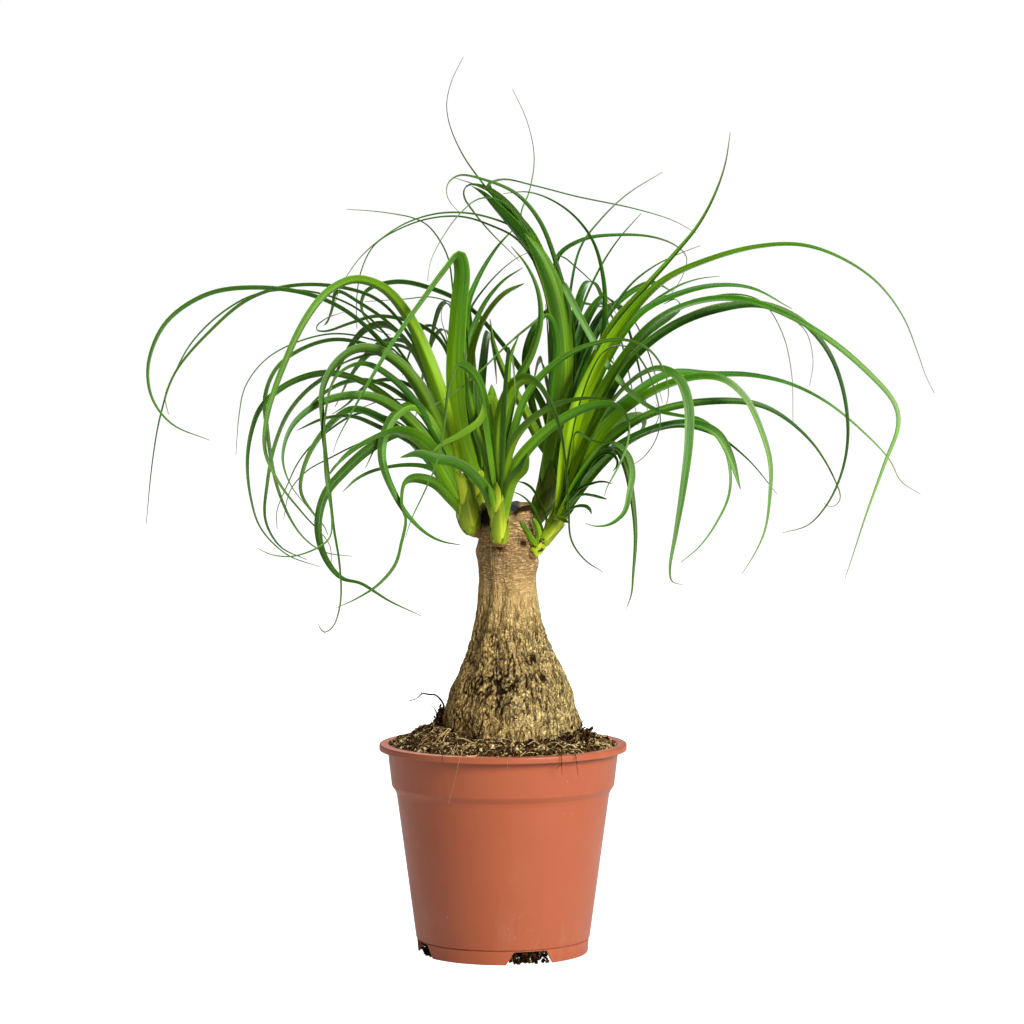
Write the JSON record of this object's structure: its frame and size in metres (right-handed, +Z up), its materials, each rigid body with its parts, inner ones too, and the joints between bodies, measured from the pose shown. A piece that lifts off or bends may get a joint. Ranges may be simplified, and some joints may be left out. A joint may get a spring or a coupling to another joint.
{
  "type": "potted ponytail palm",
  "caption": "Potted house plant: a swollen woody trunk with a cut top, tufts of long arching strap leaves, soil and a round nursery pot.",
  "frame": {"origin": "on the pot's axis, on the surface that the pot stands on", "axes": "+Z up along the pot's axis, -Y towards the viewer's side, +X to the viewer's right"},
  "size_m": [0.4851, 0.312, 0.5491],
  "materials": {
    "pot_plastic": "moulded terracotta-coloured plastic with a satin sheen and a little dust",
    "potting_soil": "loose dark peat and bark mix with tan fibres",
    "bark": "matt, ridged, tan to grey-brown bark",
    "leaf": "smooth green strap leaves with a soft sheen, lime at their bases"
  },
  "bodies": {
    "root": {"pot": "pot_plastic", "soil": "potting_soil", "trunk": "bark", "shoot_left": "leaf", "shoot_front": "leaf", "shoot_right": "leaf", "shoot_back_left": "leaf", "shoot_back_right": "leaf"}
  },
  "joints": []
}
